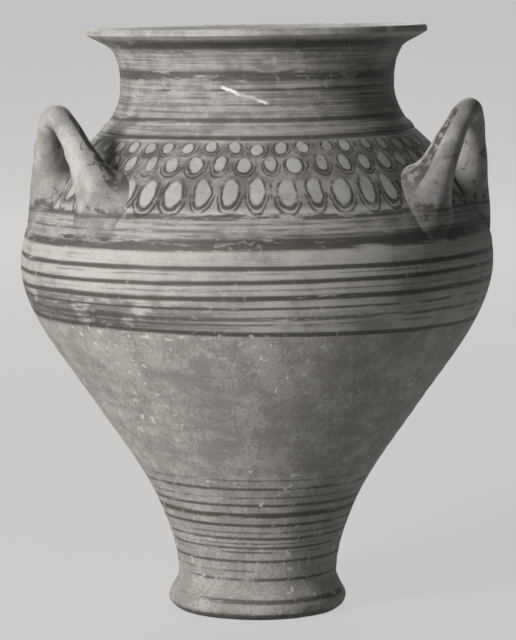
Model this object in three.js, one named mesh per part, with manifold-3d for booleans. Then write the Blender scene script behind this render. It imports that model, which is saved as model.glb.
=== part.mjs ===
// Piriform jar: a large wheel-made storage jar with three upright loop handles on its shoulder.
// Millimetres, +Z up. The origin is the centre of the circle that the foot stands on.
// The decorated front, between two of the handles, faces -Y.

import * as THREE from "three";
import * as BufferGeometryUtils from "three/addons/utils/BufferGeometryUtils.js";
import Module from "manifold-3d";

// Foot: the radius it stands on, its rounded roll, and the hollow turned into its underside
const standingRadius = 63.5;
const footRadius = 69;
const footRollHeight = 7.5;
const footHeight = 27;
const footEdgeSlope = 1.6;
const footHollowRadius = 49;
const footHollowTopRadius = 42;

// Lower body: from the narrow stem above the foot out to the belly
const stemRadius = 61.5;
const flareRise = 53;
const flareRadius = 75.2;
const flareSlope = 0.41;
const lowerWallRise = 80;
const lowerWallRadius = 125.3;
const lowerWallSlope = 0.68;
const bellyRise = 110;
const bellyRadius = 182.5;

// Upper body: from the belly in over the shoulder
const shoulderRise = 48;
const shoulderInset = 14;
const shoulderSlope = -0.64;
const neckBaseRise = 53;
const neckBaseRadius = 121.5;
const neckBaseSlope = -1.1;

// Neck ridge: a low coil of clay over the joint of shoulder and neck
const ridgeRise = 8;
const ridgeTopRadius = 114.5;
const ridgeTopSlope = -0.65;
const ridgeBulge = 1.6;

// Neck: concave up to a wide lip turned outwards
const throatRise = 26;
const throatRadius = 105.5;
const mouthRise = 28;
const mouthRadius = 111.5;
const mouthSlope = 0.6;
const lipRise = 12;
const lipRadius = 131;
const lipSlope = 1.5;
const lipThickness = 5;
const lipInset = 3;

// Walls
const bodyWall = 8;
const neckWall = 7;
const floorThickness = 10;
const floorCorner = 9;

// Handles: each loop stands on the shoulder and leans outwards.
// Angles are seen from above, counted from the front (-Y) towards +X.
const leftHandleAngle = -60;
const rightHandleAngle = 65.5;
const backHandleAngle = 182.5;
const handleRootHalfSpan = 47;
const handleRootInset = 15.5;
const handleRootRise = 40;
const handleHeight = 76.5;
const handleLean = 19.5;
const handleTopRadius = 9;
const handleRootThickening = 10;
const handleArchPower = 1.9;
const handleBuriedShare = 0.15;
const handleThickeningPower = 1.6;
const handleThickeningLimit = 1.2;

// The gap at a handle's roots, measured level: square to the sloping wall it is at least 0.3
const rootClearance = 0.48;

// Facets
const turns = 48;
const handleRings = 26;
const handleSides = 14;

const wasm = await Module();
wasm.setup();

const unpaintedClay = new THREE.MeshStandardMaterial({ color: 0x8f8676, roughness: 0.78, metalness: 0 });
const slippedClay = new THREE.MeshStandardMaterial({ color: 0xb3aa98, roughness: 0.62, metalness: 0 });
const handleClay = new THREE.MeshStandardMaterial({ color: 0xb8b09f, roughness: 0.65, metalness: 0 });

// Stations of the outer wall: height, radius, and how fast the radius grows with height
const foot = { height: 0, radius: standingRadius, slope: footEdgeSlope };
const footRoll = { height: footRollHeight, radius: footRadius, slope: 0 };
const stem = { height: footHeight, radius: stemRadius, slope: 0 };
const flare = { height: stem.height + flareRise, radius: flareRadius, slope: flareSlope };
const lowerWall = { height: flare.height + lowerWallRise, radius: lowerWallRadius, slope: lowerWallSlope };
const belly = { height: lowerWall.height + bellyRise, radius: bellyRadius, slope: 0 };
const shoulder = { height: belly.height + shoulderRise, radius: belly.radius - shoulderInset, slope: shoulderSlope };
const neckBase = { height: shoulder.height + neckBaseRise, radius: neckBaseRadius, slope: neckBaseSlope };
const ridgeTop = { height: neckBase.height + ridgeRise, radius: ridgeTopRadius, slope: ridgeTopSlope };
const throat = { height: ridgeTop.height + throatRise, radius: throatRadius, slope: 0 };
const mouth = { height: throat.height + mouthRise, radius: mouthRadius, slope: mouthSlope };
const lip = { height: mouth.height + lipRise, radius: lipRadius, slope: lipSlope };

// The Bezier curve between two stations that leaves and arrives along their slopes
function wallCurve(from, to) {
  const reach = (to.height - from.height) / 3;
  return new THREE.CubicBezierCurve(
    new THREE.Vector2(from.radius, from.height),
    new THREE.Vector2(from.radius + from.slope * reach, from.height + reach),
    new THREE.Vector2(to.radius - to.slope * reach, to.height - reach),
    new THREE.Vector2(to.radius, to.height),
  );
}

// Outer points through the stations, from the bottom up
function outline(stations, steps) {
  const points = [new THREE.Vector2(stations[0].radius, stations[0].height)];
  for (let i = 1; i < stations.length; i += 1) {
    points.push(...wallCurve(stations[i - 1], stations[i]).getPoints(steps).slice(1));
  }
  return points;
}

// The inner wall: each outer point moved in along the wall's normal.
// Its first and last points stay at their own height, so that neighbours meet face to face.
function innerOutline(stations, steps, wall) {
  const inner = [];
  for (let i = 1; i < stations.length; i += 1) {
    const curve = wallCurve(stations[i - 1], stations[i]);
    for (let step = i === 1 ? 0 : 1; step <= steps; step += 1) {
      const share = step / steps;
      const point = curve.getPoint(share);
      const tangent = curve.getTangent(share);
      const isEnd = (i === 1 && step === 0) || (i === stations.length - 1 && step === steps);
      if (isEnd) {
        inner.push(new THREE.Vector2(point.x - wall / tangent.y, point.y));
      } else {
        inner.push(new THREE.Vector2(point.x - wall * tangent.y, point.y + wall * tangent.x));
      }
    }
  }
  return inner;
}

function piece(name, geometry, material) {
  const mesh = new THREE.Mesh(geometry, material);
  mesh.name = name;
  return mesh;
}

// A ring of wall: up the outside, across its top edge and down the inside
function turned(name, profile, material) {
  const onAxis = profile[0].x === 0;
  const closed = onAxis ? profile : [...profile, profile[0].clone()];
  return piece(name, new THREE.LatheGeometry(closed, turns), material);
}

function footRing() {
  const profile = [
    ...outline([foot, footRoll, stem], 5),
    new THREE.Vector2(footHollowTopRadius, stem.height),
    new THREE.Vector2(footHollowRadius, foot.height),
  ];
  return turned("foot_ring", profile, unpaintedClay);
}

function lowerBody() {
  const stations = [stem, flare, lowerWall, belly];
  const inside = innerOutline(stations, 4, bodyWall).reverse();
  const floorTop = stem.height + floorThickness;
  const aboveFloor = inside.filter((point) => point.y > floorTop + floorCorner);
  const insideRadius = stemRadius - bodyWall;
  const corner = new THREE.QuadraticBezierCurve(
    new THREE.Vector2(insideRadius, floorTop + floorCorner),
    new THREE.Vector2(insideRadius, floorTop),
    new THREE.Vector2(insideRadius - floorCorner, floorTop),
  );
  const profile = [
    new THREE.Vector2(0, stem.height),
    ...outline(stations, 5),
    ...aboveFloor,
    ...corner.getPoints(3),
    new THREE.Vector2(0, floorTop),
  ];
  return turned("lower_body", profile, unpaintedClay);
}

function upperBody() {
  const stations = [belly, shoulder, neckBase];
  const profile = [...outline(stations, 5), ...innerOutline(stations, 4, bodyWall).reverse()];
  return turned("upper_body", profile, slippedClay);
}

// The ridge takes the wall's full thickness and swells a little past it outside
function neckRidge() {
  const wallLine = wallCurve(neckBase, ridgeTop);
  const swell = wallLine.getPoints(6).map((point, index, all) => {
    const share = index / (all.length - 1);
    return new THREE.Vector2(point.x + ridgeBulge * Math.sin(Math.PI * share), point.y);
  });
  const bottomInside = innerOutline([shoulder, neckBase], 4, bodyWall).at(-1);
  const topInside = innerOutline([ridgeTop, throat], 4, neckWall)[0];
  return turned("neck_ridge", [...swell, topInside, bottomInside], slippedClay);
}

// The lip's face rounds over from its outer edge to its flat top and falls into the mouth
function neckWithLip() {
  const rimTop = lip.height + lipThickness;
  const inside = innerOutline([ridgeTop, throat, mouth], 4, neckWall).reverse().slice(1);
  const roundOver = new THREE.QuadraticBezierCurve(
    new THREE.Vector2(lip.radius, lip.height),
    new THREE.Vector2(lip.radius, rimTop),
    new THREE.Vector2(lip.radius - lipInset, rimTop),
  );
  const fallIn = new THREE.QuadraticBezierCurve(
    new THREE.Vector2(lip.radius - lipInset, rimTop),
    new THREE.Vector2(mouth.radius, rimTop),
    new THREE.Vector2(mouth.radius - neckWall, mouth.height),
  );
  const profile = [
    ...outline([ridgeTop, throat, mouth, lip], 4),
    ...roundOver.getPoints(3).slice(1),
    ...fallIn.getPoints(5).slice(1),
    ...inside,
  ];
  return turned("neck", profile, slippedClay);
}

// The centre line of a handle, with t from 0 to 1. u runs from -1 at one root to +1 at the other,
// and a little past both, and the arch rises by 1 - |u| ^ power.
class LoopCurve extends THREE.Curve {
  arch(t) {
    const u = (2 * t - 1) * (1 + handleBuriedShare);
    return { u, rise: 1 - Math.abs(u) ** handleArchPower };
  }

  getPoint(t) {
    const { u, rise } = this.arch(t);
    const rootRadius = shoulder.radius - handleRootInset;
    return new THREE.Vector3(
      u * handleRootHalfSpan,
      rootRadius + handleLean * rise,
      belly.height + handleRootRise + handleHeight * rise,
    );
  }

  radiusAt(t) {
    const fall = Math.max(0, 1 - this.arch(t).rise);
    return handleTopRadius + handleRootThickening * Math.min(fall, handleThickeningLimit) ** handleThickeningPower;
  }
}

// A round bar of changing thickness along a curve that lies near one plane, closed at both ends
function taperedBar(curve) {
  const positions = [];
  const indices = [];
  const across = new THREE.Vector3();
  const beside = new THREE.Vector3();
  const sideways = new THREE.Vector3(0, handleHeight, -handleLean).normalize();
  for (let ring = 0; ring <= handleRings; ring += 1) {
    const t = ring / handleRings;
    const centre = curve.getPoint(t);
    const tangent = curve.getTangent(t);
    across.crossVectors(sideways, tangent).normalize();
    beside.crossVectors(tangent, across).normalize();
    for (let side = 0; side < handleSides; side += 1) {
      const angle = (2 * Math.PI * side) / handleSides;
      const point = centre.clone();
      point.addScaledVector(across, Math.cos(angle) * curve.radiusAt(t));
      point.addScaledVector(beside, Math.sin(angle) * curve.radiusAt(t));
      positions.push(point.x, point.y, point.z);
    }
  }
  for (let ring = 0; ring < handleRings; ring += 1) {
    for (let side = 0; side < handleSides; side += 1) {
      const next = (side + 1) % handleSides;
      const a = ring * handleSides + side;
      const b = ring * handleSides + next;
      indices.push(a, b, b + handleSides, a, b + handleSides, a + handleSides);
    }
  }
  const last = handleRings * handleSides;
  for (let side = 1; side < handleSides - 1; side += 1) {
    indices.push(0, side + 1, side);
    indices.push(last, last + side, last + side + 1);
  }
  const geometry = new THREE.BufferGeometry();
  geometry.setAttribute("position", new THREE.Float32BufferAttribute(positions, 3));
  geometry.setIndex(indices);
  return geometry;
}

function toSolid(geometry) {
  const bare = geometry.clone();
  bare.deleteAttribute("normal");
  bare.deleteAttribute("uv");
  const merged = BufferGeometryUtils.mergeVertices(bare, 1e-4);
  const vertProperties = new Float32Array(merged.attributes.position.array);
  const triVerts = new Uint32Array(merged.index.array);
  return new wasm.Manifold(new wasm.Mesh({ numProp: 3, vertProperties, triVerts }));
}

function toGeometry(solid) {
  const mesh = solid.getMesh();
  const geometry = new THREE.BufferGeometry();
  geometry.setAttribute("position", new THREE.BufferAttribute(mesh.vertProperties, 3));
  geometry.setIndex(new THREE.BufferAttribute(mesh.triVerts, 1));
  geometry.computeVertexNormals();
  return geometry;
}

// The room that the body takes, with the clearance all round: what a handle's roots are cut by
function bodySpace() {
  const profile = [new THREE.Vector2(0, lowerWall.height)];
  for (const point of outline([lowerWall, belly, shoulder, neckBase, ridgeTop, throat], 5)) {
    profile.push(new THREE.Vector2(point.x + rootClearance, point.y));
  }
  profile.push(new THREE.Vector2(0, throat.height));
  const geometry = new THREE.LatheGeometry(profile, turns);
  geometry.rotateX(Math.PI / 2);
  return toSolid(geometry);
}

// A handle is shaped facing +Y, turned to its place, and then trimmed to the curve of the shoulder
function handle(name, angle, space) {
  const bar = taperedBar(new LoopCurve());
  bar.rotateZ(Math.PI + THREE.MathUtils.degToRad(angle));
  const trimmed = toSolid(bar).subtract(space);
  return piece(name, toGeometry(trimmed), handleClay);
}

const jar = new THREE.Group();

// Lathe geometry turns about Y, so the turned pieces share a group that stands them up along Z
const turnedPieces = new THREE.Group();
turnedPieces.rotation.x = Math.PI / 2;
turnedPieces.add(footRing(), lowerBody(), upperBody(), neckRidge(), neckWithLip());
jar.add(turnedPieces);

const space = bodySpace();
jar.add(handle("handle_left", leftHandleAngle, space));
jar.add(handle("handle_right", rightHandleAngle, space));
jar.add(handle("handle_back", backHandleAngle, space));

export default jar;
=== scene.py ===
"""Piriform jar: the fine surfaces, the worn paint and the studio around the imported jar."""

import math

import bpy
import numpy as np
from bpy.props import FloatProperty, FloatVectorProperty, IntProperty, PointerProperty
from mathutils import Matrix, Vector


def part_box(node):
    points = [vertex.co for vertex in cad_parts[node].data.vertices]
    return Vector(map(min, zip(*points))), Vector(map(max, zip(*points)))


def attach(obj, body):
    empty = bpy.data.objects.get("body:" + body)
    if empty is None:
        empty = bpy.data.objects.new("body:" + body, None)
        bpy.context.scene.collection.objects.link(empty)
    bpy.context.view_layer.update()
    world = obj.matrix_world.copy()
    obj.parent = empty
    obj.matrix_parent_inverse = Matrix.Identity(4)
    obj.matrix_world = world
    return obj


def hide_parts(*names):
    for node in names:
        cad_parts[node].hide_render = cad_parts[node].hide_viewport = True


bl_info = {
    "name": "Piriform jar",
    "version": (1, 0, 0),
    "blender": (4, 5, 0),
    "location": "3D View > Sidebar > Jar",
    "description": "Builds a wheel-made piriform jar with painted bands and a scale pattern",
    "category": "Add Mesh",
}

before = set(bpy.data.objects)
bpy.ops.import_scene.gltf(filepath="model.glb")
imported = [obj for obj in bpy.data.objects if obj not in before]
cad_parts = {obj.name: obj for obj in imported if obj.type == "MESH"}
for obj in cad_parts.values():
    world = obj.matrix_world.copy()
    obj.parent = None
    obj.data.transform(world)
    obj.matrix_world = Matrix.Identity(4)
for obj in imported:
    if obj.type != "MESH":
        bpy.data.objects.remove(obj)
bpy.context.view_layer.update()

# Shapes are in metres. The masks of the materials count in millimetres.
MM = 0.001
TO_MM = 1000

FOOT_LOW, FOOT_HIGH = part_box("foot_ring")
LOWER_LOW, LOWER_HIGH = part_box("lower_body")
UPPER_LOW, UPPER_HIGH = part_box("upper_body")
RIDGE_LOW, RIDGE_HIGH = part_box("neck_ridge")
NECK_LOW, NECK_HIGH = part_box("neck")

# How many points go round the jar, and how far apart they lie up each wall
COLUMNS = 288
FOOT_STEP = 0.9 * MM
BODY_STEP = 1.6 * MM
BODY_INSIDE_STEP = 3 * MM
RIDGE_STEP = 0.6 * MM
NECK_STEP = 1.1 * MM
NECK_INSIDE_STEP = 2.5 * MM
SHARP_ANGLE = math.radians(50)

# The hand's marks: rows of how many waves, their size and their phase
WALL_WAVES = ((2, 0.55 * MM, 2.2708), (3, 0.35 * MM, 0.4708))
EDGE_WAVES = ((7, 1.0, 1.0), (13, 0.7, 2.0), (29, 0.5, 0.4))
HANDLE_WAVES = ((9, 0.03, 1.0), (21, 0.02, 0.0))
FINGER_PITCH = 11 * MM
FINE_PITCH = 3.7 * MM
INSIDE_PITCH = 13 * MM
INSIDE_RIDGE = 0.5 * MM

# The handles' bars: how far they run past their roots, how they fall and thicken, how far the
# smear reaches and how deep their buried ends lie in the wall
HANDLE_RINGS = 150
HANDLE_SIDES = 56
PAST_ROOT = 1.12
LOOP_POWER = 1.9
THICKENING_POWER = 1.6
THICKENING_LIMIT = 1.2
FLATTENING = 0.97
SMEAR_REACH = 7 * MM
BURIED = 1.2 * MM
STRIPE_ANGLE = math.radians(-28)


def length(name, description, metres):
    return FloatProperty(name=name, description=description, default=metres, unit="LENGTH")


def turn(name, description, degrees):
    angle = math.radians(degrees)
    return FloatProperty(name=name, description=description, default=angle, subtype="ANGLE")


def tint(name, description, value):
    return FloatVectorProperty(
        name=name, description=description, default=value, subtype="COLOR", size=3)


class JarWall(bpy.types.PropertyGroup):
    """Sizes of the turned wall."""

    standing_radius: length(
        "Standing radius", "Radius that the foot stands on", 63.5 * MM)
    hollow_radius: length(
        "Hollow radius", "Radius of the foot's hollow where it opens", 49 * MM)
    hollow_top_radius: length(
        "Hollow top radius", "Radius of the foot's hollow at its top", 42 * MM)
    foot_radius: length(
        "Foot radius", "Radius of the foot's rounded roll", FOOT_HIGH[0])
    foot_roll_level: length(
        "Foot roll level", "Height of the foot's widest line", 7.5 * MM)
    stem_radius: length(
        "Stem radius", "Radius of the narrow stem above the foot", 61.5 * MM)
    flare_level: length(
        "Flare level", "Height where the stem starts to flare", 80 * MM)
    flare_radius: length(
        "Flare radius", "Radius at the flare level", 75.2 * MM)
    lower_wall_level: length(
        "Lower wall level", "Height of the middle of the lower wall", 160 * MM)
    lower_wall_radius: length(
        "Lower wall radius", "Radius at the lower wall level", 125.3 * MM)
    belly_radius: length(
        "Belly radius", "Widest radius of the body", UPPER_HIGH[0])
    shoulder_rise: length(
        "Shoulder rise", "Height of the shoulder line above the belly", 48 * MM)
    shoulder_inset: length(
        "Shoulder inset", "How far the shoulder line lies inside the belly", 14 * MM)
    neck_base_radius: length(
        "Neck base radius", "Radius where the shoulder meets the ridge", 121.5 * MM)
    ridge_top_radius: length(
        "Ridge top radius", "Radius where the ridge meets the neck", 114.5 * MM)
    ridge_bulge: length(
        "Ridge bulge", "How far the ridge swells past the wall", 1.6 * MM)
    throat_rise: length(
        "Throat rise", "Height of the throat above the ridge", 26 * MM)
    throat_radius: length(
        "Throat radius", "Narrowest radius of the neck", 105.5 * MM)
    mouth_radius: length(
        "Mouth radius", "Radius of the neck just under the lip", 111.5 * MM)
    lip_rise: length(
        "Lip rise", "Height of the lip's edge above the mouth line", 12 * MM)
    lip_thickness: length(
        "Lip thickness", "Height of the lip's outer face", 5 * MM)
    lip_inset: length(
        "Lip inset", "How far the rim's top lies inside the lip's edge", 3 * MM)
    body_wall: length(
        "Body wall", "Thickness of the body's wall", 8 * MM)
    neck_wall: length(
        "Neck wall", "Thickness of the neck's wall", 7 * MM)
    floor_thickness: length(
        "Floor thickness", "Thickness of the floor above the foot", 10 * MM)
    floor_corner: length(
        "Floor corner", "Size of the rounded corner between floor and wall", 9 * MM)
    lean: FloatProperty(
        name="Lean", description="How much the upper jar rises to the right over its width",
        default=0.0155)


class JarHandles(bpy.types.PropertyGroup):
    """Sizes of the three loops."""

    left_angle: turn("Left angle", "Place of the left handle, from the front", -60)
    right_angle: turn("Right angle", "Place of the right handle, from the front", 65.5)
    back_angle: turn("Back angle", "Place of the back handle, from the front", 182.5)
    half_span: length(
        "Half span", "Half the distance between a handle's roots", 47 * MM)
    root_inset: length(
        "Root inset", "How far the roots' centres lie inside the shoulder line", 15.5 * MM)
    root_rise: length(
        "Root rise", "Height of the roots above the belly", 40 * MM)
    height: length(
        "Height", "Rise of the loop's centre line", 76.5 * MM)
    lean_out: length(
        "Lean out", "How far the loop's top leans outwards", 19.5 * MM)
    top_radius: length(
        "Top radius", "Radius of the bar at the top of the loop", 9 * MM)
    root_thickening: length(
        "Root thickening", "How much the bar's radius grows down to its roots", 9 * MM)
    smear: length(
        "Smear", "How far the wet clay is smeared out at the roots", 11 * MM)


class JarFinish(bpy.types.PropertyGroup):
    """Colours of the clay, the slip and the paint."""

    bare_clay: tint("Bare clay", "Colour of the lower body", (0.42, 0.40, 0.366))
    dark_clay: tint("Dark clay", "Colour of the lower body's stains", (0.27, 0.256, 0.232))
    slip: tint("Slip", "Colour of the smoothed upper surface", (0.44, 0.422, 0.39))
    stained_slip: tint("Stained slip", "Colour of the slip's stains", (0.27, 0.257, 0.236))
    reserve: tint("Reserve", "Colour of the slip inside the scales", (0.49, 0.474, 0.44))
    wash: tint("Wash", "Colour of thin paint", (0.15, 0.141, 0.128))
    paint: tint("Paint", "Colour of the painted bands", (0.052, 0.047, 0.042))
    scar: tint("Scar", "Colour of scratches and flakes", (0.74, 0.72, 0.68))
    scales: IntProperty(
        name="Scales", description="How many scales go round the shoulder", default=48, min=8)


def stations(wall):
    """The outer wall from the foot up: rows of level, radius and slope of radius over level."""
    belly = LOWER_HIGH[2]
    throat = RIDGE_HIGH[2] + wall.throat_rise
    lip = NECK_HIGH[2] - wall.lip_thickness
    return np.array([
        (FOOT_LOW[2], wall.standing_radius, 1.6),
        (wall.foot_roll_level, wall.foot_radius, 0.0),
        (LOWER_LOW[2], wall.stem_radius, 0.0),
        (wall.flare_level, wall.flare_radius, 0.41),
        (wall.lower_wall_level, wall.lower_wall_radius, 0.68),
        (belly, wall.belly_radius, 0.0),
        (belly + wall.shoulder_rise, wall.belly_radius - wall.shoulder_inset, -0.64),
        (UPPER_HIGH[2], wall.neck_base_radius, -1.1),
        (RIDGE_HIGH[2], wall.ridge_top_radius, -0.65),
        (throat, wall.throat_radius, 0.0),
        (lip - wall.lip_rise, wall.mouth_radius, 0.6),
        (lip, NECK_HIGH[0], 1.5),
    ])


def wall_radius(wall, level):
    """Radius of the outer wall at each level, and its slope.

    Between two stations the radius is the cubic in level that has their radii and slopes.
    """
    rows = stations(wall)
    level = np.clip(level, rows[0, 0], rows[-1, 0])
    low = np.clip(np.searchsorted(rows[:, 0], level, side="right") - 1, 0, len(rows) - 2)
    start, end = rows[low], rows[low + 1]
    span = end[..., 0] - start[..., 0]
    t = (level - start[..., 0]) / span
    radius = (
        (2 * t**3 - 3 * t**2 + 1) * start[..., 1]
        + (t**3 - 2 * t**2 + t) * span * start[..., 2]
        + (3 * t**2 - 2 * t**3) * end[..., 1]
        + (t**3 - t**2) * span * end[..., 2]
    )
    slope = (
        (6 * t**2 - 6 * t) * (start[..., 1] - end[..., 1]) / span
        + (3 * t**2 - 4 * t + 1) * start[..., 2]
        + (3 * t**2 - 2 * t) * end[..., 2]
    )
    return radius, slope


def smooth(value, low, high):
    """0 below low, 1 above high, and 3t^2 - 2t^3 between them."""
    t = np.clip((value - low) / (high - low), 0, 1)
    return t * t * (3 - 2 * t)


def waves(rows, angle):
    """The sum of size * sin(count * angle + phase) over the rows."""
    return sum(size * np.sin(count * angle + phase) for count, size, phase in rows)


def hand_offset(level, angle):
    """How far the thrower's hand left the wall from true, outwards.

    Two slow waves go round the jar, faint finger ridges climb it as a spiral,
    and the lip and the foot's edge are a little uneven.
    """
    slow = waves(WALL_WAVES, angle) * smooth(level, 20 * MM, 200 * MM)
    spiral = np.sin(2 * np.pi * level / FINGER_PITCH + angle)
    fine = np.sin(2 * np.pi * level / FINE_PITCH - 2 * angle)
    patch = 0.5 + 0.5 * np.sin(level / (23 * MM) + 1.3 * np.sin(angle + 0.8))
    ridges = 0.16 * spiral * patch + 0.05 * fine * (1 - patch)
    at_lip = 0.28 * smooth(level, 438 * MM, 446 * MM)
    at_foot = 0.16 * (1 - smooth(level, 3 * MM, 18 * MM))
    return slow + (ridges + waves(EDGE_WAVES, angle) * (at_lip + at_foot)) * MM


# Chips out of the lip and the foot: angle in degrees, then level, depth and width in millimetres
CHIPS = (
    (-34, 449, 0.9, 4.0),
    (12, 446, 0.8, 3.0),
    (47, 448, 1.1, 5.0),
    (-71, 447, 0.8, 3.5),
    (118, 449, 1.3, 6.0),
    (-150, 448, 1.0, 5.0),
    (-22, 5, 0.9, 3.5),
    (38, 4, 1.1, 4.5),
    (-64, 6, 1.0, 4.0),
    (140, 5, 1.2, 5.0),
    (-120, 4, 1.0, 4.5),
)


def chip_depth(level, angle, radius):
    """How deep the chips cut: the sum of depth * exp(-(distance / width)^2)."""
    depth = np.zeros(np.broadcast(level, angle).shape)
    for degrees, chip_level, deepest, width in CHIPS:
        away = angle - math.radians(degrees)
        beside = radius * np.arctan2(np.sin(away), np.cos(away))
        above = level - chip_level * MM
        depth += deepest * MM * np.exp(-(beside**2 + above**2) / (width * MM) ** 2)
    return depth


def lean_lift(wall, level, across):
    """How far the lean of the upper jar lifts a point that lies that far across."""
    return wall.lean * across * smooth(level, 195 * MM, 300 * MM)


def quads(index):
    """The four-sided faces of a grid of point numbers whose last column joins its first."""
    after = np.roll(index, -1, 1)
    faces = np.stack([index[:-1], after[:-1], after[1:], index[1:]], -1)
    return faces.reshape(-1, 4).tolist()


def closed_tube(grid, levels, poles):
    """Points, levels and faces of a tube that closes on a pole at each end.

    A pole is its place and its level.
    """
    rows, columns = levels.shape
    index = np.arange(rows * columns).reshape(rows, columns)
    after = np.roll(index, -1, 1)
    first, last = np.full(columns, index.size), np.full(columns, index.size + 1)
    start = np.stack([after[0], index[0], first], 1)
    end = np.stack([index[-1], after[-1], last], 1)
    faces = quads(index) + start.tolist() + end.tolist()
    points = np.vstack([grid.reshape(-1, 3), [place for place, _ in poles]])
    return points, np.append(levels, [level for _, level in poles]), faces


def new_piece(name, points, levels, faces, material, node):
    """A mesh object from whole arrays, with its level attribute, material, body and CAD node."""
    mesh = bpy.data.meshes.new(name)
    mesh.from_pydata(points, [], faces)
    mesh.update()
    mesh.calc_loop_triangles()
    corners = np.empty(len(mesh.loop_triangles) * 3, dtype=np.int32)
    mesh.loop_triangles.foreach_get("vertices", corners)
    first, second, third = points[corners.reshape(-1, 3)].transpose(1, 0, 2)
    if (first * np.cross(second, third)).sum() < 0:
        mesh.flip_normals()
    mesh.shade_smooth()
    mesh.set_sharp_from_angle(angle=SHARP_ANGLE)
    mesh.materials.append(material)
    add_number(mesh, "level", levels)
    piece = bpy.data.objects.new(name, mesh)
    bpy.context.scene.collection.objects.link(piece)
    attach(piece, "root")
    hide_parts(node)
    return piece


def add_number(mesh, name, values):
    """A number for each point of a mesh, which its material reads by that name."""
    attribute = mesh.attributes.new(name, "FLOAT", "POINT")
    attribute.data.foreach_set("value", values.astype(np.float32))


def turned_piece(context, name, rows, node):
    """Turns a profile, given as arrays of (level, radius), about the jar's axis.

    The point at angle a lies at (r sin a, -r cos a, level + lean), where r is the profile's
    radius with the hand's offset. A profile that starts on the axis has a pole at each end,
    and any other profile closes on itself.
    """
    wall = context.scene.jar_wall
    level, radius = np.concatenate(rows).T
    angle = np.arange(COLUMNS) * 2 * np.pi / COLUMNS
    levels, angles = np.meshgrid(level, angle, indexing="ij")
    radii = np.repeat(radius[:, None], COLUMNS, 1)
    off_axis = np.clip(radii / (30 * MM), 0, 1)
    skin = 1 - smooth(wall_radius(wall, levels)[0] - radii, 1 * MM, 5 * MM)
    chipped = skin * chip_depth(levels, angles, radii)
    radii = radii + off_axis * (hand_offset(levels, angles) - chipped)
    x = radii * np.sin(angles)
    y = -radii * np.cos(angles)
    grid = np.stack([x, y, levels + lean_lift(wall, levels, x)], -1)
    if radius[0] == 0:
        poles = [((0, 0, end), end) for end in level[[0, -1]]]
        points, levels, faces = closed_tube(grid[1:-1], levels[1:-1], poles)
    else:
        index = np.arange(levels.size).reshape(levels.shape)
        points, levels = grid.reshape(-1, 3), levels.ravel()
        faces = quads(np.vstack([index, index[:1]]))
    material = material_once("painted_wall", wall_material, context.scene.jar_finish)
    return new_piece(name, points, levels, faces, material, node)


def rising(low, high, step):
    """Levels from low to high, no further apart than step."""
    return np.linspace(low, high, max(2, int(math.ceil((high - low) / step)) + 1))


def outer_rows(wall, low, high, step):
    """The outer wall as (level, radius), from low to high."""
    levels = rising(low, high, step)
    return np.stack([levels, wall_radius(wall, levels)[0]], 1)


def inner_rows(wall, low, high, step, thickness):
    """The inner wall as (level, radius), from high to low, with faint throwing ridges.

    It lies a thickness in from the outer wall, along the wall's normal. Its two ends keep
    their level, so that neighbours meet face to face.
    """
    levels = rising(low, high, step)
    radius, slope = wall_radius(wall, levels)
    stretch = np.sqrt(1 + slope**2)
    inner_radius = radius - thickness / stretch
    inner_level = levels + thickness * slope / stretch
    ends = [0, -1]
    inner_radius[ends] = radius[ends] - thickness * stretch[ends]
    inner_level[ends] = levels[ends]
    fade = INSIDE_RIDGE * np.sin(np.linspace(0, np.pi, len(levels)))
    inner_radius += fade * np.sin(2 * np.pi * inner_level / INSIDE_PITCH)
    return np.stack([inner_level, inner_radius], 1)[::-1]


def bezier(points, count):
    """Points on the quadratic Bezier curve through three control points."""
    t = np.linspace(0, 1, count)[:, None]
    first, middle, last = np.array(points)
    return (1 - t) ** 2 * first + 2 * (1 - t) * t * middle + t**2 * last


class Signal:
    """A node's output. Python's arithmetic on it adds Math nodes."""

    def __init__(self, graph, socket):
        self.graph = graph
        self.socket = socket

    def math(self, operation, *others):
        return self.graph.math(operation, self, *others)

    def largest(self, other):
        return self.math("MAXIMUM", other)

    def output(self, name):
        """Another output of the same node."""
        return Signal(self.graph, self.socket.node.outputs[name])

    def __add__(self, other):
        return self.math("ADD", other)

    def __radd__(self, other):
        return self.graph.math("ADD", other, self)

    def __sub__(self, other):
        return self.math("SUBTRACT", other)

    def __rsub__(self, other):
        return self.graph.math("SUBTRACT", other, self)

    def __mul__(self, other):
        return self.math("MULTIPLY", other)

    def __rmul__(self, other):
        return self.graph.math("MULTIPLY", other, self)

    def __truediv__(self, other):
        return self.math("DIVIDE", other)

    def __abs__(self):
        return self.math("ABSOLUTE")


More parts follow.
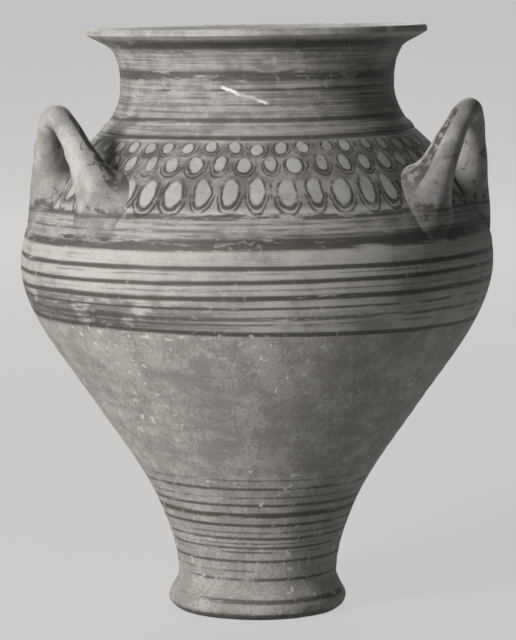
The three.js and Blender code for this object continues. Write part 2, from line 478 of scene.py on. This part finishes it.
class Graph:
    """The node tree of one material or of the world."""

    def __init__(self, owner):
        owner.use_nodes = True
        self.owner = owner
        self.tree = owner.node_tree
        self.tree.nodes.clear()

    def add(self, kind, settings=None, inputs=None, output=0):
        """One node: its settings first, then the values or links of its inputs."""
        node = self.tree.nodes.new(kind)
        for name, value in (settings or {}).items():
            setattr(node, name, value)
        for name, value in (inputs or {}).items():
            self.feed(node.inputs[name], value)
        return Signal(self, node.outputs[output]) if len(node.outputs) else node

    def feed(self, socket, value):
        if isinstance(value, Signal):
            self.tree.links.new(value.socket, socket)
        else:
            socket.default_value = value

    def math(self, operation, *values):
        return self.add("ShaderNodeMath", {"operation": operation}, dict(enumerate(values)))

    def mix(self, factor, first, second):
        """The first colour where factor is 0, and the second where it is 1."""
        inputs = {0: factor, 6: colour(first), 7: colour(second)}
        return self.add("ShaderNodeMix", {"data_type": "RGBA"}, inputs, 2)

    def step(self, value, low, high):
        """0 at low, 1 at high and smooth between, also where low is the larger."""
        inputs = {"Value": value, "From Min": low, "From Max": high}
        return self.add("ShaderNodeMapRange", {"interpolation_type": "SMOOTHSTEP"}, inputs)

    def zone(self, value, rise, fall):
        """Goes from 0 to 1 over the first pair of values and back to 0 over the second."""
        return self.step(value, *rise) * self.step(value, fall[1], fall[0])

    def place(self):
        return self.add("ShaderNodeTexCoord", output="Object")

    def number(self, name):
        return self.add("ShaderNodeAttribute", {"attribute_name": name}, output="Fac")

    def parts(self, vector):
        """The x, y and z of a vector."""
        x = self.add("ShaderNodeSeparateXYZ", None, {0: vector}, "X")
        return x, x.output("Y"), x.output("Z")

    def noise(self, vector, scale, detail=3.0, roughness=0.55):
        """Noise of that many cells per unit of the vector."""
        inputs = {"Vector": vector, "Scale": scale, "Detail": detail, "Roughness": roughness}
        return self.add("ShaderNodeTexNoise", None, inputs)

    def stretched_noise(self, vector, scales, detail, roughness):
        """Noise whose cells have a size of their own along each axis."""
        settings = {"operation": "MULTIPLY"}
        stretched = self.add("ShaderNodeVectorMath", settings, {0: vector, 1: scales})
        return self.noise(stretched, 1.0, detail, roughness)

    def drawn(self, number):
        """A value from 0 to 1 drawn for each number."""
        return self.add("ShaderNodeTexWhiteNoise", {"noise_dimensions": "1D"}, {"W": number})

    def surface(self, base, roughness, height, distance):
        """Fired clay: the shader with its bump, and the material's output."""
        bump_inputs = {"Height": height, "Distance": distance, "Strength": 1.0}
        shader = self.add("ShaderNodeBsdfPrincipled", None, {
            "Base Color": base,
            "Roughness": roughness,
            "Normal": self.add("ShaderNodeBump", None, bump_inputs),
            "Specular IOR Level": 0.3,
        })
        self.add("ShaderNodeOutputMaterial", None, {"Surface": shader})
        return self.owner


def colour(value):
    """A colour as four numbers, or a link as it is."""
    if isinstance(value, Signal):
        return value
    return (*tuple(value)[:3], 1.0)


def material_once(name, maker, finish):
    """The material of that name, made the first time it is asked for."""
    known = bpy.data.materials.get(name)
    return known or maker(Graph(bpy.data.materials.new(name)), finish)


# Painted bands: level and half width in millimetres, strength, how far the band falls from left
# to right, how much of it is left, and the side (in degrees from the front) where it is darkest
BANDS = (
    # The first band, on the underside of the lip, is painted shade, not paint: it darkens the
    # lip's underside, most towards the right.
    (438.0, 3.4, 0.78, 0.0, 0.84, 50),
    (433.2, 1.0, 0.50, 0.0, 0.50, 60),
    (427.0, 0.7, 0.35, 0.0, 0.45, -30),
    (415.6, 4.4, 0.85, 0.0, 0.50, -62),
    (414.0, 3.4, 0.85, 0.0, 0.54, 62),
    (409.5, 0.6, 0.45, 0.0, 0.45, -40),
    (405.0, 1.2, 0.75, 0.0, 0.62, 52),
    (399.5, 0.8, 0.40, 0.0, 0.45, 50),
    (394.0, 1.1, 0.45, 0.0, 0.50, -50),
    (389.0, 0.7, 0.40, 0.0, 0.45, 50),
    (383.0, 1.8, 0.80, 0.0, 0.74, 20),
    (370.6, 2.0, 0.85, 0.0, 0.78, 0),
    (316.3, 2.1, 0.82, 0.0, 0.56, -50),
    (315.0, 1.6, 0.80, 0.0, 0.50, 58),
    (311.0, 0.9, 0.50, 0.0, 0.48, 50),
    (306.4, 1.2, 0.62, 0.0, 0.48, -50),
    (302.6, 1.2, 0.65, 0.0, 0.48, 55),
    (297.8, 4.2, 0.90, 0.0, 0.66, 58),
    (295.0, 3.2, 0.88, 0.0, 0.64, -48),
    (280.0, 2.1, 0.92, 0.002, 0.86, 10),
    (276.0, 0.6, 0.50, 0.002, 0.48, 50),
    (270.0, 1.9, 0.92, -0.006, 0.84, -10),
    (264.5, 0.7, 0.50, -0.004, 0.52, 45),
    (258.6, 2.2, 0.92, -0.002, 0.86, -20),
    (251.0, 1.1, 0.78, 0.0, 0.70, -40),
    (243.4, 1.7, 0.72, 0.0, 0.55, 0),
    (239.0, 1.0, 0.60, 0.004, 0.52, -50),
    (232.1, 1.8, 0.90, 0.0155, 0.82, 0),
    (112.0, 0.8, 0.50, 0.0, 0.46, -30),
    (104.8, 1.4, 0.75, 0.0, 0.58, -30),
    (97.5, 0.9, 0.55, 0.0, 0.52, 20),
    (91.0, 1.4, 0.82, 0.0, 0.70, 10),
    (82.8, 2.3, 0.90, 0.0, 0.80, 0),
    (74.5, 1.4, 0.85, 0.0, 0.72, -20),
    (68.5, 0.8, 0.60, 0.0, 0.52, 40),
    (63.6, 1.3, 0.80, 0.0, 0.66, 20),
    (59.5, 0.7, 0.60, 0.0, 0.50, 0),
    (56.0, 1.2, 0.76, 0.0, 0.62, -10),
    (52.3, 0.9, 0.70, 0.0, 0.58, 30),
    (45.3, 1.3, 0.80, 0.0, 0.68, 0),
    (37.5, 0.8, 0.55, 0.0, 0.50, -30),
    (30.7, 1.3, 0.78, 0.0, 0.56, 30),
    (14.5, 1.9, 0.80, 0.0, 0.54, 10),
    (1.5, 4.2, 0.85, 0.0, 0.85, 0),
)

# Rows of scales: level, half width as a share of the spacing, half height in millimetres, offset
SCALE_ROWS = (
    (363.6, 0.25, 3.7, 0.5),
    (352.2, 0.26, 5.3, 0.0),
    (333.0, 0.28, 9.6, 0.5),
)
# Keeps the cells' numbers above zero all round the jar
CELL_SHIFT = 100.0

# The white scar on the neck: across and level of its two ends, and its half width, in millimetres
SCAR_START = (-28.0, 407.5)
SCAR_END = (9.5, 394.0)
SCAR_HALF_WIDTH = 1.6

# Zones of the wall, in millimetres: where each one's lower edge fades in and its upper one out
NECK_ZONE = ((369.0, 374.0), (441.5, 443.5))
STREAK_ZONE = ((291.0, 296.0), (312.0, 320.0))
SCALE_ZONE = ((319.0, 325.0), (366.0, 369.0))
STAIN_ZONE = ((229.0, 236.0), (246.0, 266.0))
SLIP_EDGE = (229.5, 233.5)
SLIP_EDGE_FALL = 0.0155
HANDLE_BANDS_TOP = (321.0, 315.0)
HANDLE_MARK_LEVEL = 321.0


def worn_paint(g, place, level):
    """How much paint is left of the bands, from 0 to 1, and the two noises that wear it.

    A band's edge follows a noise that is drawn out round the jar, and its paint is lost
    where a second noise passes the band's share.
    """
    across, depth, _ = g.parts(place)
    angle = across.math("ARCTAN2", depth * -1)
    drag = g.stretched_noise(place, (14, 14, 620), 4.0, 0.6)
    wear = g.stretched_noise(place, (30, 30, 190), 6.0, 0.68)
    waver = (g.noise(place, 9.0, 2.0) - 0.5) * 2.4
    total = None
    for centre, half, strength, fall, left, side in BANDS:
        away = abs(level + across * (fall * TO_MM) + waver - centre)
        line = g.step(away + (drag - 0.5) * (1.5 * half), half * 1.3, half * 0.45)
        facing = (angle - math.radians(side)).math("COSINE") * 0.11
        kept = g.step(wear - facing, 0.36 + 0.32 * left, 0.25 + 0.32 * left)
        mask = line * kept * strength
        total = mask if total is None else total.largest(mask)
    return total, drag, wear


def scale_marks(g, place, level, count):
    """The light middles and the dark outlines of the scales.

    In each row the angle is cut into equal cells, and a number drawn for each cell shifts and
    sizes its scale. The size is 1 on an ellipse about the cell's middle: the scale is light
    inside it, one dark line follows it, arcs repeat its lower half and blots fill some gaps.
    """
    across, depth, _ = g.parts(place)
    angle = across.math("ARCTAN2", depth * -1)
    wobble = (g.noise(place, 55.0, 2.0) - 0.5) * 0.3
    shake = (g.noise(place, 80.0, 3.0) - 0.5) * 4.0
    light = None
    dark = None
    for centre, half_width, half_height, offset in SCALE_ROWS:
        cell = angle * (count / (2 * math.pi)) + (wobble + (offset + CELL_SHIFT))
        number = cell.math("FLOOR").math("FLOORED_MODULO", count)
        first = g.drawn(number + centre)
        second = g.drawn(number + centre * 2.0)
        aside = cell.math("FRACT") - 0.5
        beside = (aside + (first - 0.5) * 0.12) / ((second * 0.34 + 0.83) * half_width)
        above = (level - centre + shake + (second - 0.5) * 2.4) / half_height
        size = (beside * beside + above * above).math("SQRT")
        inside = g.step(size, 1.02, 0.8) * (first * 0.4 + 0.6)
        open_top = g.step(above, 1.05, 0.55) * 0.75 + 0.25
        outline = g.step(abs(size - 1.16), 0.24, 0.08) * open_top
        arc = g.step(abs(size - 1.62), 0.2, 0.06) * g.step(above, 0.0, -0.4)
        blot = g.step(abs(aside), 0.38, 0.46) * g.step(abs(above), 0.75, 0.3)
        line = outline.largest(arc).largest(blot * g.step(first, 0.5, 0.62))
        light = inside if light is None else light.largest(inside)
        dark = line if dark is None else dark.largest(line)
    return light, dark * (1 - light)


def scar_mask(g, place, level):
    """A broken stroke along a straight line on the front of the neck."""
    across, depth, _ = g.parts(place)
    along = (SCAR_END[0] - SCAR_START[0], SCAR_END[1] - SCAR_START[1])
    length_along = math.hypot(*along)
    unit = (along[0] / length_along, along[1] / length_along)
    from_start = across * TO_MM - SCAR_START[0]
    above = level - SCAR_START[1]
    travelled = from_start * unit[0] + above * unit[1]
    aside = from_start * -unit[1] + above * unit[0]
    ragged = (g.noise(place, 150.0, 3.0) - 0.5) * 5.0
    stroke = g.step(abs(aside + ragged), SCAR_HALF_WIDTH, SCAR_HALF_WIDTH * 0.5)
    ends = g.zone(travelled, (0.0, 3.0), (length_along - 5.0, length_along))
    broken = g.step(g.noise(place, 60.0, 2.0), 0.38, 0.5)
    front = g.step(depth, 0.0, -0.02)
    return stroke * ends * front * (0.35 + broken * 0.65)


def wall_material(g, finish):
    """Worn slip above, bare clay below, painted bands, a scale pattern, flecks and a scar."""
    place = g.place()
    level = g.number("level") * TO_MM
    across, _, _ = g.parts(place)
    paint, drag, wear = worn_paint(g, place, level)
    light, outline = scale_marks(g, place, level, finish.scales)
    cloud = g.noise(place, 16.0, 4.0, 0.6)
    blotch = g.noise(place, 52.0, 5.0, 0.65)
    grain = g.noise(place, 420.0, 3.0, 0.6)
    speck = g.noise(place, 170.0, 3.0, 0.5)

    # Clay and slip, each with its stains
    clay_mottle = g.step(cloud * 0.22 + blotch * 0.4 + grain * 0.38, 0.58, 0.44)
    clay = g.mix(clay_mottle, finish.bare_clay, finish.dark_clay)
    slip_mottle = g.step(cloud * 0.35 + blotch * 0.35 + drag * 0.3, 0.46, 0.62)
    slip = g.mix(slip_mottle, finish.slip, finish.stained_slip)
    upper = g.step(level + across * (SLIP_EDGE_FALL * TO_MM), *SLIP_EDGE)
    base = g.mix(upper, clay, slip)

    # Thin paint on the neck, among the streaky bands, between the scales and low on the left
    streaks = g.step(drag * 0.55 + blotch * 0.45, 0.42, 0.6)
    thin = g.zone(level, *NECK_ZONE).largest(g.zone(level, *STREAK_ZONE) * 0.8)
    base = g.mix(thin * (0.25 + streaks * 0.5), base, finish.wash)
    washed = g.zone(level, *SCALE_ZONE) * (0.42 + g.step(blotch, 0.38, 0.58) * 0.5)
    base = g.mix(washed, base, finish.wash)
    stained = g.zone(level, *STAIN_ZONE) * g.step(across, 0.01, -0.12)
    base = g.mix(stained * g.step(blotch, 0.38, 0.52) * 0.9, base, finish.wash)
    base = g.mix(stained * g.step(wear, 0.48, 0.6) * 0.8, base, finish.paint)

    # Scales, bands and grain
    base = g.mix(light * g.step(wear, 0.74, 0.54) * 0.88, base, finish.reserve)
    base = g.mix(outline * g.step(wear, 0.66, 0.48) * 0.85, base, finish.paint)
    base = g.mix(paint, base, finish.paint)
    base = g.mix(g.step(grain, 0.54, 0.72) * 0.4, base, finish.wash)

    # Flecks, mostly on the bare clay, and the scar
    flecks = g.step(speck, 0.60, 0.68) * (0.2 + g.step(cloud, 0.47, 0.6) * 0.8)
    flecks = flecks * (1 - upper * 0.72)
    base = g.mix(flecks * 0.6, base, finish.scar)
    base = g.mix(scar_mask(g, place, level), base, finish.scar)

    rough = 0.62 + grain * 0.2 - paint * 0.12
    height = drag * 0.5 + grain * 0.5 + blotch * 0.3 + paint * 0.08 - flecks * 0.4
    return g.surface(base, rough, height, 0.45 * MM)


def handle_material(g, finish):
    """Hand-smoothed slip with a worn stripe along the loop and loose brush marks at its roots.

    Below the shoulder's bands the wall's own paint runs on over the root.
    """
    place = g.place()
    level = g.number("level") * TO_MM
    stripe_side = g.number("stripe_side")
    from_top = abs(g.number("along"))
    bands, drag, _ = worn_paint(g, place, level)
    cloud = g.noise(place, 24.0, 4.0, 0.6)
    blotch = g.noise(place, 75.0, 5.0, 0.65)
    grain = g.noise(place, 420.0, 3.0, 0.6)
    wear = g.noise(place, 130.0, 5.0, 0.65)
    mottle = g.step(cloud * 0.5 + blotch * 0.5, 0.40, 0.58)
    base = g.mix(mottle, finish.slip, finish.stained_slip)
    on_wall = g.step(level, *HANDLE_BANDS_TOP)
    streaks = g.step(drag * 0.55 + blotch * 0.45, 0.42, 0.6)
    base = g.mix(on_wall * (0.2 + streaks * 0.4), base, finish.wash)

    stripe = g.step(stripe_side + (cloud - 0.5) * 0.16, 0.92, 0.97)
    stripe = stripe * g.zone(from_top, (0.12, 0.3), (0.8, 0.98)) * g.step(wear, 0.64, 0.5)
    sketch = g.step(abs(g.noise(place, 46.0, 2.0) - 0.5), 0.018, 0.006)
    sketch = sketch * g.step(blotch, 0.5, 0.58) * g.step(from_top, 0.35, 0.5)
    root_mark = g.step(abs(level - HANDLE_MARK_LEVEL + (cloud - 0.5) * 26), 4.5, 1.5)
    root_mark = root_mark * g.step(wear, 0.56, 0.44) * g.step(blotch, 0.42, 0.52)
    paint = stripe.largest(sketch * 0.8).largest(root_mark * 0.9).largest(bands * on_wall)
    base = g.mix(paint * 0.88, base, finish.paint)
    base = g.mix(g.step(grain, 0.54, 0.72) * 0.35, base, finish.wash)
    return g.surface(base, 0.6 + grain * 0.2, grain * 0.5 + blotch * 0.6, 0.5 * MM)


def loop_line(sizes, wall, u):
    """The loop's centre line, facing the front, and how far it has fallen from its top.

    u goes from -1 at one root to 1 at the other. Across is u half spans, the line falls by
    |u|^1.9 of the height, and it leans out as it rises.
    """
    fall = np.abs(u) ** LOOP_POWER
    rise = 1 - fall
    shoulder = wall.belly_radius - wall.shoulder_inset
    outward = shoulder - sizes.root_inset + sizes.lean_out * rise
    level = LOWER_HIGH[2] + sizes.root_rise + sizes.height * rise
    return np.stack([u * sizes.half_span, -outward, level], -1), fall


def unit(vectors):
    return vectors / np.linalg.norm(vectors, axis=-1, keepdims=True)


def smeared(points, spread, wall, sizes):
    """Points of a bar, moved along the wall's surface where they lie near it.

    Each moves away from the bar's middle by the smear times exp(-distance / 7 mm). Then none
    is left more than 1.2 mm inside the wall.
    """
    reach = np.hypot(points[..., 0], points[..., 1])
    wall_at, slope = wall_radius(wall, points[..., 2])
    outward = np.stack([points[..., 0] / reach, points[..., 1] / reach, -slope], -1)
    normal = unit(outward)
    along_wall = spread - (spread * normal).sum(-1, keepdims=True) * normal
    distance = np.clip((reach - wall_at) / np.sqrt(1 + slope**2), 0, None)
    points = points + sizes.smear * np.exp(-distance / SMEAR_REACH)[..., None] * along_wall
    reach = np.hypot(points[..., 0], points[..., 1])
    angle = np.arctan2(points[..., 0], -points[..., 1])
    least = wall_radius(wall, points[..., 2])[0] + hand_offset(points[..., 2], angle) - BURIED
    points[..., :2] *= (np.maximum(reach, least) / reach)[..., None]
    return points


def loop_handle(context, name, turn_by, node):
    """A round bar carried along the loop, thicker at its roots and smeared onto the wall."""
    wall, sizes = context.scene.jar_wall, context.scene.jar_handles
    u = np.linspace(-PAST_ROOT, PAST_ROOT, HANDLE_RINGS)
    line, fall = loop_line(sizes, wall, u)
    tangent = unit(np.gradient(line, axis=0))
    plane_normal = unit(np.array([0.0, -sizes.height, -sizes.lean_out]))
    upward = unit(np.cross(plane_normal, tangent))
    outward = np.cross(tangent, upward)
    thickening = np.minimum(fall, THICKENING_LIMIT) ** THICKENING_POWER
    radius = sizes.top_radius + sizes.root_thickening * thickening
    radius = radius * (1 + waves(HANDLE_WAVES, u))
    angle = np.arange(HANDLE_SIDES) * 2 * np.pi / HANDLE_SIDES
    spread = np.cos(angle)[None, :, None] * upward[:, None] * FLATTENING
    spread = spread + np.sin(angle)[None, :, None] * outward[:, None]
    points = line[:, None] + radius[:, None, None] * spread

    sine, cosine = math.sin(turn_by), math.cos(turn_by)
    turned = np.array([[cosine, sine, 0], [-sine, cosine, 0], [0, 0, 1]])
    points = smeared(points @ turned, spread @ turned, wall, sizes)
    levels = points[..., 2].copy()
    points[..., 2] += lean_lift(wall, levels, points[..., 0])
    poles = [(points[end].mean(0), levels[end].mean()) for end in (0, -1)]
    points, levels, faces = closed_tube(points, levels, poles)
    material = material_once("painted_handle", handle_material, context.scene.jar_finish)
    piece = new_piece(name, points, levels, faces, material, node)
    side = np.repeat(np.cos(angle - STRIPE_ANGLE)[None], HANDLE_RINGS, 0)
    add_number(piece.data, "stripe_side", np.append(side, [0, 0]))
    add_number(piece.data, "along", np.append(np.repeat(u, HANDLE_SIDES), [0, 0]))


class JAR_OT_foot(bpy.types.Operator):
    """Adds the turned foot, hollow underneath."""

    bl_idname = "jar.foot"
    bl_label = "Foot"

    def execute(self, context):
        wall = context.scene.jar_wall
        outer = outer_rows(wall, FOOT_LOW[2], FOOT_HIGH[2], FOOT_STEP)
        hollow_top = (FOOT_HIGH[2], wall.hollow_top_radius)
        hollow = (FOOT_LOW[2], wall.hollow_radius)
        top = np.linspace(outer[-1], hollow_top, 8)[1:]
        inner = np.linspace(hollow_top, hollow, 14)[1:]
        under = np.linspace(hollow, outer[0], 8)[1:-1]
        rows = [outer, top, inner, under]
        turned_piece(context, "turned_foot", rows, "foot_ring")
        return {"FINISHED"}


class JAR_OT_lower_body(bpy.types.Operator):
    """Adds the lower wall with its floor."""

    bl_idname = "jar.lower_body"
    bl_label = "Lower body"

    def execute(self, context):
        wall = context.scene.jar_wall
        low, high = LOWER_LOW[2], LOWER_HIGH[2]
        outer = outer_rows(wall, low, high, BODY_STEP)
        inner = inner_rows(wall, low, high, BODY_INSIDE_STEP, wall.body_wall)
        floor_top = low + wall.floor_thickness
        corner_top = floor_top + wall.floor_corner
        inside = wall.stem_radius - wall.body_wall
        flat = inside - wall.floor_corner
        corner = bezier([(corner_top, inside), (floor_top, inside), (floor_top, flat)], 8)
        floor = np.linspace((floor_top, flat), (floor_top, 0), 14)[1:]
        under = np.linspace((low, 0), (low, wall.stem_radius), 14)[:-1]
        rows = [under, outer, inner[inner[:, 0] > corner_top], corner, floor]
        turned_piece(context, "lower_wall", rows, "lower_body")
        return {"FINISHED"}


class JAR_OT_upper_body(bpy.types.Operator):
    """Adds the wall from the belly over the shoulder."""

    bl_idname = "jar.upper_body"
    bl_label = "Upper body"

    def execute(self, context):
        wall = context.scene.jar_wall
        low, high = UPPER_LOW[2], UPPER_HIGH[2]
        outer = outer_rows(wall, low, high, BODY_STEP)
        inner = inner_rows(wall, low, high, BODY_INSIDE_STEP, wall.body_wall)
        turned_piece(context, "shoulder_wall", [outer, inner], "upper_body")
        return {"FINISHED"}


class JAR_OT_neck_ridge(bpy.types.Operator):
    """Adds the low coil between shoulder and neck."""

    bl_idname = "jar.neck_ridge"
    bl_label = "Neck ridge"

    def execute(self, context):
        wall = context.scene.jar_wall
        low, high = RIDGE_LOW[2], RIDGE_HIGH[2]
        outer = outer_rows(wall, low, high, RIDGE_STEP)
        outer[:, 1] += wall.ridge_bulge * np.sin(np.linspace(0, np.pi, len(outer)))
        _, slope = wall_radius(wall, np.array([low, high]))
        bottom = wall.neck_base_radius - wall.body_wall * math.hypot(1, slope[0])
        top = wall.ridge_top_radius - wall.neck_wall * math.hypot(1, slope[1])
        inner = np.linspace((high, top), (low, bottom), 5)
        turned_piece(context, "collar_ridge", [outer, inner], "neck_ridge")
        return {"FINISHED"}


class JAR_OT_neck(bpy.types.Operator):
    """Adds the neck with its lip turned outwards."""

    bl_idname = "jar.neck"
    bl_label = "Neck"

    def execute(self, context):
        wall = context.scene.jar_wall
        low, rim, edge = NECK_LOW[2], NECK_HIGH[2], NECK_HIGH[0]
        lip = rim - wall.lip_thickness
        mouth = lip - wall.lip_rise
        rim_start = (rim, edge - wall.lip_inset)
        inner_mouth = (mouth, wall.mouth_radius - wall.neck_wall)
        outer = outer_rows(wall, low, lip, NECK_STEP)
        over = bezier([(lip, edge), (rim, edge), rim_start], 10)[1:]
        fall = bezier([rim_start, (rim, wall.mouth_radius), inner_mouth], 18)[1:]
        inner = inner_rows(wall, low, mouth, NECK_INSIDE_STEP, wall.neck_wall)[1:]
        rows = [outer, over, fall, inner]
        turned_piece(context, "neck_and_lip", rows, "neck")
        return {"FINISHED"}


class JAR_OT_handles(bpy.types.Operator):
    """Adds the three loops on the shoulder."""

    bl_idname = "jar.handles"
    bl_label = "Handles"

    def execute(self, context):
        sizes = context.scene.jar_handles
        loop_handle(context, "left_loop", sizes.left_angle, "handle_left")
        loop_handle(context, "right_loop", sizes.right_angle, "handle_right")
        loop_handle(context, "back_loop", sizes.back_angle, "handle_back")
        return {"FINISHED"}


# The stage, the lamps (name, place, size, power) and the camera. Places and sizes are in
# metres, power is in watts and the lens in millimetres.
STAGE_HALF_WIDTH = 8.0
STAGE_FRONT = -7.0
STAGE_BACK = 6.0
STAGE_BEND = 1.6
STAGE_TOP = 7.0
STAGE_MATT = (0.42, 0.42, 0.415, 1)
STAGE_SHOWN = (0.66, 0.66, 0.655, 1)
WORLD_COLOUR = (0.62, 0.62, 0.615, 1)
WORLD_LIGHT = 0.07
WORLD_SHOWN = 0.92
LAMP_TARGET = (0, 0, 0.24)
LAMPS = (
    ("key", (-1.79, -1.67, 1.13), 0.8, 77),
    ("fill", (1.4, -2.4, 0.9), 1.6, 1),
    ("back", (-0.3, 4.2, 2.6), 2.4, 140),
)
CAMERA_PLACE = (0.0003, -2.309, 0.482)
CAMERA_TARGET = (0.0003, 0, 0.2232)
CAMERA_LENS = 168.6


def stage_material(g):
    """A pale surface that shows the camera an even tone and still takes the jar's shadow."""
    path = g.add("ShaderNodeLightPath", output="Is Camera Ray")
    shown = path.largest(path.output("Is Glossy Ray")) * 0.8
    matt = g.add("ShaderNodeBsdfDiffuse", None, {"Color": STAGE_MATT})
    even = g.add("ShaderNodeEmission", None, {"Color": STAGE_SHOWN, "Strength": 1.0})
    mixed = g.add("ShaderNodeMixShader", None, {0: shown, 1: matt, 2: even})
    g.add("ShaderNodeOutputMaterial", None, {"Surface": mixed})
    return g.owner


def add_stage():
    """A floor that curves up into a backdrop: flat, then a quarter circle, then upright."""
    turn_up = np.linspace(0, np.pi / 2, 24)[1:]
    bend_start = STAGE_BACK - STAGE_BEND
    bend_y = bend_start + STAGE_BEND * np.sin(turn_up)
    bend_z = STAGE_BEND - STAGE_BEND * np.cos(turn_up)
    y = np.concatenate([[STAGE_FRONT, bend_start], bend_y, [STAGE_BACK]])
    z = np.concatenate([[0, 0], bend_z, [STAGE_TOP]])
    left = np.stack([np.full(len(y), -STAGE_HALF_WIDTH), y, z], -1)
    points = np.vstack([left, left * (-1, 1, 1)])
    count = len(y)
    index = np.arange(count - 1)
    faces = np.stack([index, index + count, index + count + 1, index + 1], -1)
    mesh = bpy.data.meshes.new("floor")
    mesh.from_pydata(points, [], faces.tolist())
    mesh.shade_smooth()
    mesh.materials.append(stage_material(Graph(bpy.data.materials.new("pale_stage"))))
    floor = bpy.data.objects.new("floor", mesh)
    bpy.context.scene.collection.objects.link(floor)


def aimed(name, data, place, target):
    """A lamp or a camera that looks from its place at the target."""
    thing = bpy.data.objects.new(name, data)
    thing.location = place
    away = Vector(target) - Vector(place)
    thing.rotation_euler = away.to_track_quat("-Z", "Y").to_euler()
    bpy.context.scene.collection.objects.link(thing)
    return thing


def add_lamp(name, place, size, power):
    data = bpy.data.lights.new(name, "AREA")
    data.shape = "DISK"
    data.size = size
    data.energy = power
    aimed(name, data, place, LAMP_TARGET)


def add_world():
    """A dim even light that looks as pale to the camera as the stage does."""
    world = bpy.data.worlds.new("studio")
    g = Graph(world)
    path = g.add("ShaderNodeLightPath", output="Is Camera Ray")
    strength = path * (WORLD_SHOWN - WORLD_LIGHT) + WORLD_LIGHT
    inputs = {"Color": WORLD_COLOUR, "Strength": strength}
    background = g.add("ShaderNodeBackground", None, inputs)
    g.add("ShaderNodeOutputWorld", None, {"Surface": background})
    bpy.context.scene.world = world


def add_camera():
    """The photograph's view: 2.31 m from the jar's axis, a little above its rim, tilted down."""
    data = bpy.data.cameras.new("camera")
    data.lens = CAMERA_LENS
    bpy.context.scene.camera = aimed("camera", data, CAMERA_PLACE, CAMERA_TARGET)


class JAR_OT_stage(bpy.types.Operator):
    """Adds the floor, the lamps, the world and the camera."""

    bl_idname = "jar.stage"
    bl_label = "Stage"

    def execute(self, context):
        add_stage()
        for lamp in LAMPS:
            add_lamp(*lamp)
        add_world()
        add_camera()
        context.scene.view_settings.view_transform = "Standard"
        return {"FINISHED"}


class JAR_PT_panel(bpy.types.Panel):
    """Lists the jar's sizes, its colours and its pieces."""

    bl_label = "Piriform jar"
    bl_space_type = "VIEW_3D"
    bl_region_type = "UI"
    bl_category = "Jar"

    def draw(self, context):
        for group_name, group_type in GROUPS.items():
            box = self.layout.box()
            for name in group_type.__annotations__:
                box.prop(getattr(context.scene, group_name), name)
        for operator in OPERATORS:
            self.layout.operator(operator.bl_idname)


GROUPS = {"jar_wall": JarWall, "jar_handles": JarHandles, "jar_finish": JarFinish}
OPERATORS = (
    JAR_OT_stage,
    JAR_OT_foot,
    JAR_OT_lower_body,
    JAR_OT_upper_body,
    JAR_OT_neck_ridge,
    JAR_OT_neck,
    JAR_OT_handles,
)


def register():
    for cls in (*GROUPS.values(), *OPERATORS, JAR_PT_panel):
        bpy.utils.register_class(cls)
    for name, cls in GROUPS.items():
        setattr(bpy.types.Scene, name, PointerProperty(type=cls))


def unregister():
    for name in GROUPS:
        delattr(bpy.types.Scene, name)
    for cls in (JAR_PT_panel, *reversed(OPERATORS), *reversed(GROUPS.values())):
        bpy.utils.unregister_class(cls)


def main():
    register()
    bpy.ops.jar.stage()
    bpy.ops.jar.foot()
    bpy.ops.jar.lower_body()
    bpy.ops.jar.upper_body()
    bpy.ops.jar.neck_ridge()
    bpy.ops.jar.neck()
    bpy.ops.jar.handles()


if __name__ == "__main__":
    main()
